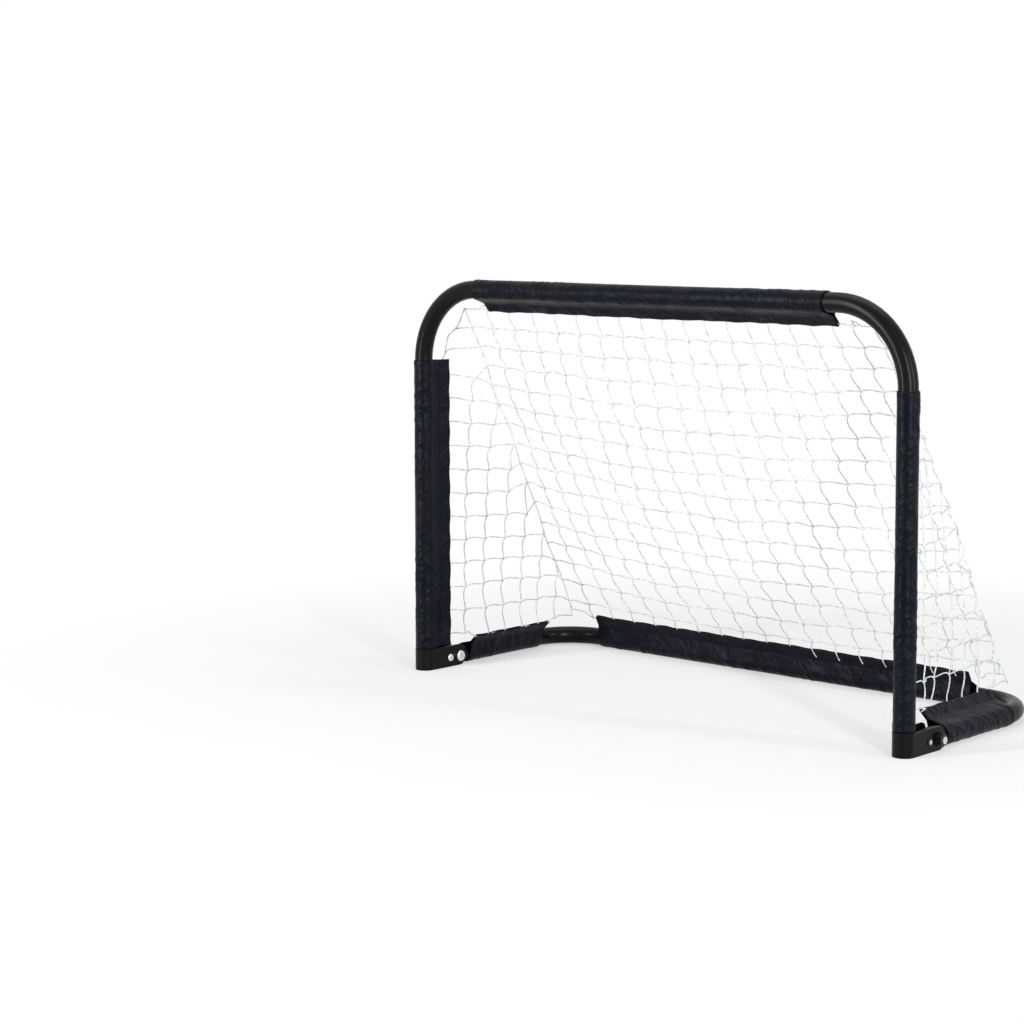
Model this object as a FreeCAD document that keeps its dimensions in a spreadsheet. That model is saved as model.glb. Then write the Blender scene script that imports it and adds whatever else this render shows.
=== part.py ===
import FreeCAD, Part
import math
import os
import Sketcher
from FreeCAD import Placement, Rotation, Vector

# Folding street goal. A front frame of bent tube stands on two foot brackets and folds back
# over a U-shaped base tube. Fabric sleeves wrap the straight tubes and hold a net.
# X runs along the crossbar, Y points back into the net and Z is up. The origin lies on the
# floor under the middle of the goal. Lengths are millimetres.

doc = FreeCAD.newDocument("folding_goal")
sheet = doc.addObject("Spreadsheet::Sheet", "Sizes")

dimensions = [
    ("post_spacing", 873.0, "between the axes of the two uprights"),
    ("crossbar_height", 586.5, "axis of the crossbar above the floor"),
    ("rear_bar_setback", 328.0, "axis of the rear bar behind the uprights"),
    ("tube_radius", 13.5, "outside of every frame tube"),
    ("tube_wall", 1.2, "wall of every frame tube"),
    ("front_bend", 110.0, "axis radius of the two upper bends"),
    ("base_bend", 77.0, "axis radius of the two base bends"),
    ("plug_flange", 2.0, "thickness of a foot plug below its tube"),
    ("plug_depth", 15.0, "length of a foot plug inside its tube"),
    ("plate", 2.0, "sheet thickness of a foot bracket"),
    ("bracket_height", 32.5, "height of a foot bracket"),
    ("pivot_back", 60.0, "pivot bolt behind the upright's axis"),
    ("pivot_to_stop", 22.0, "stop bolt in front of the pivot bolt"),
    ("bracket_tail", 12.0, "cheek behind the pivot bolt's axis"),
    ("low_corner", 12.0, "radius of the cheek's lower rear corner"),
    ("top_corner", 10.0, "radius of the cheek's upper rear corner"),
    ("pivot_radius", 5.0, "shank of the pivot bolt"),
    ("pivot_play", 0.05, "running clearance round the pivot bolt"),
    ("bolt_play", 0.2, "clearance of the holes in the cheeks and washers"),
    ("pivot_head_radius", 8.5, "head of the pivot bolt"),
    ("pivot_head_height", 4.5, "head of the pivot bolt"),
    ("pivot_end", 1.7, "thread that shows beyond the pivot nut"),
    ("pivot_nut_corner", 9.8, "radius over the corners of the pivot nut"),
    ("pivot_nut_height", 4.4, "hexagon of the pivot nut"),
    ("nut_collar", 1.6, "round locking collar of the pivot nut"),
    ("washer_radius", 10.2, "washer under the pivot nut"),
    ("washer_thickness", 1.5, "washer under the pivot nut"),
    ("spacer_radius", 9.0, "nylon spacer between cheek and arm"),
    ("spacer_thickness", 1.2, "nylon spacer between cheek and arm"),
    ("bush_wall", 2.0, "steel bush welded through the arm"),
    ("stop_radius", 3.0, "shank of the stop bolt"),
    ("stop_head_radius", 5.8, "head of the stop bolt"),
    ("stop_head_height", 3.3, "head of the stop bolt"),
    ("stop_rest", 0.1, "gap between the stop bolt and the arm's lip"),
    ("stop_end", 0.4, "thread that shows beyond the stop nut"),
    ("nose_play", 0.5, "gap between the swinging stop bolt and the arm's nose"),
    ("stop_nut_radius", 5.6, "flange of the nut pressed into the outer cheek"),
    ("stop_nut_flange", 1.0, "flange of the nut pressed into the outer cheek"),
    ("stop_nut_body", 4.2, "body radius of the nut pressed into the outer cheek"),
    ("socket_corner", 0.42, "hex socket's corner radius as a share of the head"),
    ("socket_depth", 0.6, "hex socket's depth as a share of the head"),
    ("lip_reach", 6.0, "arm's lip in front of the stop bolt's axis"),
    ("crimp_past_pivot", 10.0, "flattened arm end behind the pivot bolt"),
    ("crimp_run", 9.0, "length over which the arm turns from round to flattened"),
    ("sleeve_wall", 1.0, "lined fabric of a sleeve"),
    ("strip_thickness", 0.7, "each closure strip between a sleeve's edges"),
    ("strip_inset", 4.0, "closure strip back from the ends of its sleeve"),
    ("crease_reach", 25.0, "where a sleeve's two edges meet, from the tube's axis"),
    ("flap_reach", 43.0, "edge of a sleeve's flap, from the tube's axis"),
    ("crossbar_flap_angle", 50.0, "flap below the horizontal"),
    ("upright_flap_angle", 70.0, "flap turned back from the crossbar's direction"),
    ("arm_flap_angle", 45.0, "flap above the horizontal"),
    ("crossbar_sleeve", 634.0, "length of the crossbar's sleeve"),
    ("rear_sleeve", 695.0, "length of the rear bar's sleeve"),
    ("sleeve_shift", -8.0, "long sleeves sit off the middle by this much"),
    ("sleeve_foot", 1.0, "gap between an upright's sleeve and its bracket"),
    ("arm_sleeve_gap", 1.0, "gap between an arm's sleeve and the swinging cheek"),
    ("net_mesh", 42.5, "spacing of the net's cords"),
    ("net_cord", 2.0, "width and thickness of a net cord"),
    ("net_gap", 0.5, "net clear of the front frame's flaps"),
    ("net_seam", 0.2, "gap where a side panel meets the back panel"),
    ("net_hang", 2.6, "net's top edge below the crossbar's flap"),
    ("net_rise", 20.0, "net's front edge above the upright's sleeve"),
    ("net_corner_side", 46.0, "net cut off inside an upper bend, sideways"),
    ("net_corner_down", 57.0, "net cut off inside an upper bend, along the slope"),
    ("net_foot_side", 50.0, "net cut off above a base bend, sideways"),
    ("net_foot_up", 30.0, "net cut off above a base bend, along the slope"),
]
for row, (alias, value, note) in enumerate(dimensions, start=1):
    sheet.set("A%d" % row, note)
    sheet.set("B%d" % row, str(value))
    sheet.setAlias("B%d" % row, alias)
doc.recompute()


def size(alias):
    return float(sheet.get(alias))


def bind(target, **formulas):
    for prop, formula in formulas.items():
        target.setExpression(prop, formula)


# Places and radii that follow from the driving dimensions
post = size("post_spacing") / 2
tube = size("tube_radius")
tube_bore = tube - size("tube_wall")
sleeve_radius = tube + size("sleeve_wall")
bracket_radius = tube + size("plate")
base_axis = sleeve_radius
front = -(size("rear_bar_setback") + sleeve_radius - bracket_radius) / 2
rear = front + size("rear_bar_setback")
pivot_y = front + size("pivot_back")
stop_y = pivot_y - size("pivot_to_stop")
crimp_half_width = tube - size("spacer_thickness")
crimp_half_height = crimp_half_width + math.pi * size("spacer_thickness") / 2
cheek_top = size("bracket_height") - base_axis
cheek_swing = math.hypot(size("bracket_tail"), cheek_top)
arm_sleeve_start = pivot_y + cheek_swing + size("arm_sleeve_gap")
arm_sleeve_end = rear - size("base_bend")
upright_foot = size("bracket_height") + size("sleeve_foot")
upright_top = size("crossbar_height") - size("front_bend")
flap_half = size("sleeve_wall") + size("strip_thickness")
flap_reach = size("flap_reach")
sides = (("left", -1), ("right", 1))


def finish(obj, label, place):
    obj.Label = label
    obj.Placement = place
    return obj


def feature(label, shape, place=Placement()):
    obj = doc.addObject("Part::Feature", label)
    obj.Shape = shape
    return finish(obj, label, place)


def cylinder(radius, length):
    obj = doc.addObject("Part::Cylinder", "Cylinder")
    bind(obj, Radius=radius, Height=length)
    return obj


def hexagon(corner, length):
    obj = doc.addObject("Part::Prism", "Hexagon")
    obj.Polygon = 6
    bind(obj, Circumradius=corner, Height=length)
    return obj


def at(obj, x=0.0, y=0.0, z=0.0):
    obj.Placement.Base = Vector(x, y, z)
    return obj


def cut(base, tool, name="Cut"):
    obj = doc.addObject("Part::Cut", name)
    obj.Base = base
    obj.Tool = tool
    return obj


def fuse(shapes, name="Fuse"):
    obj = doc.addObject("Part::MultiFuse", name)
    obj.Shapes = shapes
    return obj


def sideways(x, y, z, side):
    """Placement that turns a local +Z to point outwards, along X, on the given side."""
    return Placement(Vector(x, y, z), Rotation(Vector(0, 1, 0), 90 * side))


def origin_plane(body, role):
    return next(plane for plane in body.Origin.OriginFeatures if plane.Role == role)


def sketch_on(body, role, name, offset=Placement()):
    sketch = body.newObject("Sketcher::SketchObject", name)
    sketch.AttachmentSupport = (origin_plane(body, role), [""])
    sketch.MapMode = "FlatFace"
    sketch.AttachmentOffset = offset
    return sketch


def constrain(sketch, name, formula, kind, *args):
    index = sketch.addConstraint(Sketcher.Constraint(kind, *args))
    sketch.renameConstraint(index, name)
    sketch.setExpression("Constraints." + name, formula)


def line(sketch, x1, y1, x2, y2):
    return sketch.addGeometry(Part.LineSegment(Vector(x1, y1, 0), Vector(x2, y2, 0)), False)


def arc(sketch, x, y, radius, start, end):
    circle = Part.Circle(Vector(x, y, 0), Vector(0, 0, 1), radius)
    turn = Part.ArcOfCircle(circle, math.radians(start), math.radians(end))
    return sketch.addGeometry(turn, False)


def ring_sketch(sketch, x, formulas):
    for number, (radius, formula) in enumerate(formulas):
        circle = Part.Circle(Vector(x, 0, 0), Vector(0, 0, 1), radius)
        index = sketch.addGeometry(circle, False)
        sketch.addConstraint(Sketcher.Constraint("PointOnObject", index, 3, -1))
        constrain(sketch, "offset%d" % number, "Sizes.post_spacing / 2",
                  "DistanceX", index, 3, -1, 1, abs(x))
        constrain(sketch, "radius%d" % number, formula, "Radius", index, radius)


# Front frame tube: two uprights and the crossbar, bent from one length
def front_frame_tube():
    body = doc.addObject("PartDesign::Body", "front_frame_tube")
    spine = sketch_on(body, "XZ_Plane", "front_route")
    foot = size("plug_flange")
    height = size("crossbar_height")
    bend = size("front_bend")
    left = line(spine, -post, foot, -post, height - bend)
    left_bend = arc(spine, bend - post, height - bend, bend, 90, 180)
    top = line(spine, bend - post, height, post - bend, height)
    right_bend = arc(spine, post - bend, height - bend, bend, 0, 90)
    right = line(spine, post, height - bend, post, foot)
    joints = [(left, 2, left_bend, 2), (left_bend, 1, top, 1),
              (top, 2, right_bend, 2), (right_bend, 1, right, 1)]
    for joint in joints:
        spine.addConstraint(Sketcher.Constraint("Tangent", *joint))
    spine.addConstraint(Sketcher.Constraint("Vertical", left))
    spine.addConstraint(Sketcher.Constraint("Symmetric", left, 1, right, 2, -2))
    spine.addConstraint(Sketcher.Constraint("Equal", left_bend, right_bend))
    constrain(spine, "bend", "Sizes.front_bend", "Radius", left_bend, bend)
    constrain(spine, "foot", "Sizes.plug_flange", "DistanceY", -1, 1, left, 1, foot)
    constrain(spine, "top", "Sizes.crossbar_height", "DistanceY", -1, 1, top, 1, height)
    constrain(spine, "width", "Sizes.post_spacing", "DistanceX", left, 1, right, 2, 2 * post)
    rings = sketch_on(body, "XY_Plane", "front_section", Placement(Vector(0, 0, foot), Rotation()))
    rings.setExpression("AttachmentOffset.Base.z", "Sizes.plug_flange")
    ring_sketch(rings, -post, [(tube, "Sizes.tube_radius"),
                               (tube_bore, "Sizes.tube_radius - Sizes.tube_wall")])
    doc.recompute()
    pipe = body.newObject("PartDesign::AdditivePipe", "front_pipe")
    pipe.Profile = rings
    pipe.Spine = (spine, ["Edge%d" % (n + 1) for n in range(5)])
    return finish(body, "front_frame_tube", Placement(Vector(0, front, 0), Rotation()))


# Base tube: two short arms and the rear bar, with flattened and notched arm ends
def base_route(start):
    bend = size("base_bend")
    turn = bend * (1 - math.sqrt(0.5))
    points = [Vector(-post, start, 0), Vector(-post, rear - bend, 0),
              Vector(turn - post, rear - turn, 0), Vector(bend - post, rear, 0),
              Vector(post - bend, rear, 0), Vector(post - turn, rear - turn, 0),
              Vector(post, rear - bend, 0), Vector(post, start, 0)]
    return Part.Wire([
        Part.LineSegment(points[0], points[1]).toShape(),
        Part.Arc(points[1], points[2], points[3]).toShape(),
        Part.LineSegment(points[3], points[4]).toShape(),
        Part.Arc(points[4], points[5], points[6]).toShape(),
        Part.LineSegment(points[6], points[7]).toShape()])


def round_pipe(start, radius):
    ring = Part.Circle(Vector(-post, start, 0), Vector(0, 1, 0), radius)
    return base_route(start).makePipeShell([Part.Wire(ring.toShape())], True, False)


def oval(y, half_width, half_height):
    """Section of an arm across Y: two half rounds joined by short sides, four edges in all."""
    lift = half_height - half_width
    split = math.radians(10)
    wide = half_width if lift > 0 else half_width * math.cos(split)
    high = lift if lift > 0 else half_width * math.sin(split)
    corners = [Vector(wide, y, high), Vector(-wide, y, high),
               Vector(-wide, y, -high), Vector(wide, y, -high)]
    top = Part.Arc(corners[0], Vector(0, y, half_height), corners[1]).toShape()
    bottom = Part.Arc(corners[2], Vector(0, y, -half_height), corners[3]).toShape()
    if lift > 0:
        left = Part.LineSegment(corners[1], corners[2]).toShape()
        right = Part.LineSegment(corners[3], corners[0]).toShape()
    else:
        left = Part.Arc(corners[1], Vector(-half_width, y, 0), corners[2]).toShape()
        right = Part.Arc(corners[3], Vector(half_width, y, 0), corners[0]).toShape()
    return Part.Wire([top, left, bottom, right])


def crimped_end(x, inset, end):
    """Arm end that turns from the round tube to its flattened shape, drawn in by inset."""
    flat_start = pivot_y + size("crimp_past_pivot")
    round_start = flat_start + size("crimp_run")
    radius = tube - inset
    half_width = crimp_half_width - inset
    half_height = crimp_half_height - inset
    turn = Part.makeLoft([oval(round_start, radius, radius),
                          oval(flat_start, half_width, half_height)], True, True)
    straight = Part.Face(oval(flat_start, half_width, half_height))
    solid = turn.fuse(straight.extrude(Vector(0, end - flat_start, 0)))
    solid.translate(Vector(x, 0, 0))
    return solid


def arm_notch():
    """What the arm ends lose so that the stop bolt can swing up over them."""
    nose = size("pivot_to_stop") - size("stop_radius") - size("nose_play")
    floor = -size("stop_radius") - size("stop_rest")
    reach = size("pivot_to_stop") + size("lip_reach") + tube
    width = 2 * (post + bracket_radius)
    block = Part.makeBox(width, reach, 2 * tube - floor, Vector(-width / 2, pivot_y - reach, floor))
    round_nose = Part.makeCylinder(nose, width, Vector(-width / 2, pivot_y, 0), Vector(1, 0, 0))
    return block.cut(round_nose)


def base_frame_tube():
    lip = stop_y - size("lip_reach")
    round_start = pivot_y + size("crimp_past_pivot") + size("crimp_run")
    wall = size("tube_wall")
    outside = round_pipe(round_start, tube)
    inside = round_pipe(round_start, tube_bore)
    for name, side in sides:
        outside = outside.fuse(crimped_end(side * post, 0, lip))
        inside = inside.fuse(crimped_end(side * post, wall, lip - wall))
    shape = outside.cut(inside).cut(arm_notch())
    bush = size("pivot_radius") + size("pivot_play") + size("bush_wall")
    for name, side in sides:
        start = Vector(side * post - tube, pivot_y, 0)
        shape = shape.cut(Part.makeCylinder(bush, 2 * tube, start, Vector(1, 0, 0)))
    feature("base_frame_tube", shape.removeSplitter(), Placement(Vector(0, 0, base_axis), Rotation()))


# Foot brackets: one strip of sheet bent round the upright, two cheeks reaching to the pivot
def bracket_outline(sketch):
    back = size("pivot_back") + size("bracket_tail")
    outer = arc(sketch, 0, 0, bracket_radius, 180, 360)
    right_outer = line(sketch, bracket_radius, 0, bracket_radius, back)
    right_end = line(sketch, bracket_radius, back, tube, back)
    right_inner = line(sketch, tube, back, tube, 0)
    inner = arc(sketch, 0, 0, tube, 180, 360)
    left_inner = line(sketch, -tube, 0, -tube, back)
    left_end = line(sketch, -tube, back, -bracket_radius, back)
    left_outer = line(sketch, -bracket_radius, back, -bracket_radius, 0)
    for centre in (outer, inner):
        sketch.addConstraint(Sketcher.Constraint("Coincident", centre, 3, -1, 1))
    smooth = [(outer, 2, right_outer, 1), (left_outer, 2, outer, 1),
              (right_inner, 2, inner, 2), (inner, 1, left_inner, 1)]
    for joint in smooth:
        sketch.addConstraint(Sketcher.Constraint("Tangent", *joint))
    square = [(right_outer, 2, right_end, 1), (right_end, 2, right_inner, 1),
              (left_inner, 2, left_end, 1), (left_end, 2, left_outer, 1)]
    for joint in square:
        sketch.addConstraint(Sketcher.Constraint("Coincident", *joint))
    for upright in (right_outer, left_outer, right_inner, left_inner):
        sketch.addConstraint(Sketcher.Constraint("Vertical", upright))
    for end in (right_end, left_end):
        sketch.addConstraint(Sketcher.Constraint("Horizontal", end))
    constrain(sketch, "outer", "Sizes.tube_radius + Sizes.plate", "Radius", outer, bracket_radius)
    constrain(sketch, "inner", "Sizes.tube_radius", "Radius", inner, tube)
    length = "Sizes.pivot_back + Sizes.bracket_tail"
    constrain(sketch, "right_length", length, "DistanceY", -1, 1, right_end, 1, back)
    constrain(sketch, "left_length", length, "DistanceY", -1, 1, left_end, 1, back)


def hole(sketch, y, z, radius, name, formulas):
    index = sketch.addGeometry(Part.Circle(Vector(y, z, 0), Vector(0, 0, 1), radius), False)
    constrain(sketch, name + "_back", formulas[0], "DistanceX", -1, 1, index, 3, y)
    constrain(sketch, name + "_up", formulas[1], "DistanceY", -1, 1, index, 3, z)
    constrain(sketch, name + "_radius", formulas[2], "Radius", index, radius)


def rear_edges(shape, height):
    """Names of the cheeks' rear corner edges at the given height."""
    back = size("pivot_back") + size("bracket_tail")
    found = []
    for number, edge in enumerate(shape.Edges, start=1):
        middle = edge.CenterOfMass
        if abs(middle.y - back) < 0.01 and abs(middle.z - height) < 0.01:
            found.append("Edge%d" % number)
    return found


def bolt_holes(body, name, circles, side):
    sketch = sketch_on(body, "YZ_Plane", name + "_holes")
    for number, (y, radius, back, formula) in enumerate(circles):
        formulas = (back, "Sizes.tube_radius + Sizes.sleeve_wall", formula)
        hole(sketch, y, base_axis, radius, "hole%d" % number, formulas)
    doc.recompute()
    before = body.Shape.Volume
    pocket = body.newObject("PartDesign::Pocket", name)
    pocket.Profile = sketch
    pocket.Type = "ThroughAll"
    pocket.Reversed = side > 0
    doc.recompute()
    if not body.Shape.Volume < before:
        raise RuntimeError(name + " cut nothing")


def foot_bracket(name, side):
    body = doc.addObject("PartDesign::Body", name + "_foot_bracket")
    outline = sketch_on(body, "XY_Plane", name + "_outline")
    bracket_outline(outline)
    pad = body.newObject("PartDesign::Pad", name + "_sheet")
    pad.Profile = outline
    bind(pad, Length="Sizes.bracket_height")
    doc.recompute()
    for corner, height in (("low_corner", 0.0), ("top_corner", size("bracket_height"))):
        solid = body.Tip
        fillet = body.newObject("PartDesign::Fillet", name + "_" + corner)
        fillet.Base = (solid, rear_edges(solid.Shape, height))
        bind(fillet, Radius="Sizes." + corner)
        body.Tip = fillet
        doc.recompute()
    pivot = (size("pivot_back"), size("pivot_radius") + size("bolt_play"), "Sizes.pivot_back",
             "Sizes.pivot_radius + Sizes.bolt_play")
    stop_back = "Sizes.pivot_back - Sizes.pivot_to_stop"
    stop = (stop_y - front, size("stop_radius") + size("bolt_play"), stop_back,
            "Sizes.stop_radius + Sizes.bolt_play")
    nut = (stop_y - front, size("stop_nut_body"), stop_back, "Sizes.stop_nut_body")
    bolt_holes(body, name + "_inner", (pivot, stop), -side)
    bolt_holes(body, name + "_outer", (pivot, nut), side)
    return finish(body, name + "_foot_bracket", Placement(Vector(side * post, front, 0), Rotation()))


# Fasteners and plugs, each drawn along its own +Z and turned to point outwards
def socket_bolt(label, prefix, length, x, y, side):
    """Round-headed bolt. Local zero is the face that the head bears on, inside the goal."""
    shank = cylinder("Sizes.%s_radius" % prefix, length)
    head = cylinder("Sizes.%s_head_radius" % prefix, "Sizes.%s_head_height" % prefix)
    height = size(prefix + "_head_height")
    rounded = doc.addObject("Part::Fillet", "Head")
    rounded.Base = at(head, z=-height)
    doc.recompute()
    rim = [n for n, edge in enumerate(head.Shape.Edges, start=1)
           if edge.Closed and abs(edge.CenterOfMass.z + height) < 0.01]
    rounded.Edges = [(n, height * 0.6, height * 0.6) for n in rim]
    corner = "Sizes.%s_head_radius * Sizes.socket_corner" % prefix
    depth = "Sizes.%s_head_height * Sizes.socket_depth" % prefix
    socket = at(hexagon(corner, depth), z=-height)
    bolt = cut(fuse([shank, rounded]), socket, label)
    finish(bolt, label, sideways(x, y, base_axis, side))


def tube_ring(label, outer, inner, length, place):
    return finish(cut(cylinder(outer, length), cylinder(inner, length), label), label, place)


def pivot_hardware(name, side):
    inner_face = side * (post - bracket_radius)
    outer_face = side * (post + bracket_radius)
    washer = size("washer_thickness")
    grip = ("2 * (Sizes.tube_radius + Sizes.plate) + Sizes.washer_thickness"
            " + Sizes.pivot_nut_height + Sizes.nut_collar + Sizes.pivot_end")
    socket_bolt(name + "_pivot_bolt", "pivot", grip, inner_face, pivot_y, side)
    clear = "Sizes.pivot_radius + Sizes.bolt_play"
    tube_ring(name + "_pivot_washer", "Sizes.washer_radius", clear, "Sizes.washer_thickness",
              sideways(outer_face, pivot_y, base_axis, side))
    collar = at(cylinder("Sizes.pivot_nut_corner * 0.8", "Sizes.nut_collar"),
                z=size("pivot_nut_height"))
    whole = fuse([hexagon("Sizes.pivot_nut_corner", "Sizes.pivot_nut_height"), collar])
    thread = cylinder("Sizes.pivot_radius", "Sizes.pivot_nut_height + Sizes.nut_collar")
    finish(cut(whole, thread), name + "_pivot_nut",
           sideways(outer_face + side * washer, pivot_y, base_axis, side))
    thickness = size("spacer_thickness")
    rings = []
    for start in (0.0, 2 * tube - thickness):
        ring = cut(cylinder("Sizes.spacer_radius", "Sizes.spacer_thickness"),
                   cylinder(clear, "Sizes.spacer_thickness"))
        rings.append(at(ring, z=start))
    pair = doc.addObject("Part::Compound", "Spacers")
    pair.Links = rings
    finish(pair, name + "_pivot_spacers", sideways(side * (post - tube), pivot_y, base_axis, side))
    bore = "Sizes.pivot_radius + Sizes.pivot_play"
    width = "2 * (Sizes.tube_radius - Sizes.spacer_thickness)"
    tube_ring(name + "_arm_bush", bore + " + Sizes.bush_wall", bore, width,
              sideways(side * (post - crimp_half_width), pivot_y, base_axis, side))


def stop_hardware(name, side):
    inner_face = side * (post - bracket_radius)
    outer_face = side * (post + bracket_radius)
    grip = "2 * (Sizes.tube_radius + Sizes.plate) + Sizes.stop_nut_flange + Sizes.stop_end"
    socket_bolt(name + "_stop_bolt", "stop", grip, inner_face, stop_y, side)
    body = at(cylinder("Sizes.stop_nut_body", "Sizes.plate"), z=-size("plate"))
    flange = cylinder("Sizes.stop_nut_radius", "Sizes.stop_nut_flange")
    thread = at(cylinder("Sizes.stop_radius", "Sizes.plate + Sizes.stop_nut_flange"),
                z=-size("plate"))
    finish(cut(fuse([body, flange]), thread), name + "_stop_nut",
           sideways(outer_face, stop_y, base_axis, side))


def foot_plug(name, side):
    flange = cylinder("Sizes.tube_radius", "Sizes.plug_flange")
    spigot = cylinder("Sizes.tube_radius - Sizes.tube_wall", "Sizes.plug_flange + Sizes.plug_depth")
    finish(fuse([flange, spigot]), name + "_foot_plug",
           Placement(Vector(side * post, front, 0), Rotation()))


# Fabric sleeves: a band round the tube whose two edges meet in a flap
def tangent_point(radius, reach, half):
    """Where a line from the point (reach, half) touches the circle on its far side."""
    angle = math.atan2(half, reach) + math.acos(radius / math.hypot(reach, half))
    return Vector(radius * math.cos(angle), radius * math.sin(angle), 0)


def mirrored(point):
    return Vector(point.x, -point.y, 0)


def sleeve_section():
    crease = size("crease_reach")
    strip = size("strip_thickness")
    outer_touch = tangent_point(sleeve_radius, crease, flap_half)
    inner_touch = tangent_point(tube, crease, strip)
    outer = [Vector(flap_reach, flap_half, 0), Vector(crease, flap_half, 0), outer_touch]
    inner = [Vector(flap_reach, strip, 0), Vector(crease, strip, 0), inner_touch]
    edges = [Part.Arc(outer_touch, Vector(-sleeve_radius, 0, 0), mirrored(outer_touch)).toShape(),
             Part.Arc(inner_touch, Vector(-tube, 0, 0), mirrored(inner_touch)).toShape()]
    for path in (outer, inner):
        for begin, end in zip(path, path[1:]):
            edges.append(Part.LineSegment(begin, end).toShape())
            edges.append(Part.LineSegment(mirrored(begin), mirrored(end)).toShape())
    edges.append(Part.LineSegment(outer[0], inner[0]).toShape())
    edges.append(Part.LineSegment(mirrored(outer[0]), mirrored(inner[0])).toShape())
    return Part.Face(Part.Wire(Part.__sortEdges__(edges)))


def along_tube(start, along, flap):
    """Placement with local Z along the tube and local X towards the flap's edge."""
    return Placement(start, Rotation(flap, along.cross(flap), along, "ZXY"))


def sleeve(name, start, along, flap, length):
    place = along_tube(start, along, flap)
    feature(name + "_sleeve", sleeve_section().extrude(Vector(0, 0, length)), place)
    inset = size("strip_inset")
    strip = size("strip_thickness")
    width = flap_reach - size("crease_reach")
    for kind, offset in (("hook", 0.0), ("loop", -strip)):
        corner = Vector(size("crease_reach"), offset, inset)
        box = Part.makeBox(width, strip, length - 2 * inset, corner)
        feature("%s_%s_strip" % (name, kind), box, place)


# Net panels: one holed face each, with the holes clipped to the panel's outline
def clip(polygon, point, inward):
    """Part of a convex polygon on the inward side of the line through a point."""
    kept = []
    for begin, end in zip(polygon, polygon[1:] + polygon[:1]):
        from_line = (begin - point).dot(inward)
        to_line = (end - point).dot(inward)
        if from_line >= 0:
            kept.append(begin)
        if from_line * to_line < 0:
            kept.append(begin + (end - begin) * (from_line / (from_line - to_line)))
    return kept


def area(polygon):
    total = 0.0
    for begin, end in zip(polygon, polygon[1:] + polygon[:1]):
        total += begin.x * end.y - end.x * begin.y
    return total / 2


def mesh_panel(label, outline, first, place):
    """Net in its local XY plane, centred on it. The outline is convex and runs anticlockwise."""
    mesh = size("net_mesh")
    cord = size("net_cord")
    low_x = min(point.x for point in outline)
    low_y = min(point.y for point in outline)
    columns = math.ceil((max(point.x for point in outline) - low_x) / mesh) + 2
    rows = math.ceil((max(point.y for point in outline) - low_y) / mesh) + 2
    start_x = first.x - math.ceil((first.x - low_x) / mesh) * mesh
    start_y = first.y - math.ceil((first.y - low_y) / mesh) * mesh
    holes = []
    for column in range(columns):
        for row in range(rows):
            x = start_x + column * mesh + cord / 2
            y = start_y + row * mesh + cord / 2
            side = mesh - cord
            cell = [Vector(x, y, 0), Vector(x + side, y, 0),
                    Vector(x + side, y + side, 0), Vector(x, y + side, 0)]
            for begin, end in zip(outline, outline[1:] + outline[:1]):
                edge = (end - begin).normalize()
                inward = Vector(-edge.y, edge.x, 0)
                cell = clip(cell, begin + inward * cord, inward) if cell else cell
            if len(cell) > 2 and area(cell) > mesh * cord:
                holes.append(Part.Wire(Part.makePolygon(cell + cell[:1])))
    rim = Part.Wire(Part.makePolygon(outline + outline[:1]))
    face = Part.makeFace([rim] + holes, "Part::FaceMakerBullseye")
    print(label, "gaps", len(holes))
    middle = Placement(Vector(0, 0, -cord / 2), Rotation())
    feature(label, face.extrude(Vector(0, 0, cord)), place.multiply(middle))


def flap_direction(alias):
    angle = math.radians(size(alias))
    return math.cos(angle), math.sin(angle)


def upper_anchor():
    """Middle of the net's top edge, just beyond the crossbar's flap."""
    back, down = flap_direction("crossbar_flap_angle")
    reach = flap_reach + size("net_hang")
    return Vector(0, front + reach * back, size("crossbar_height") - reach * down)


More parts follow.
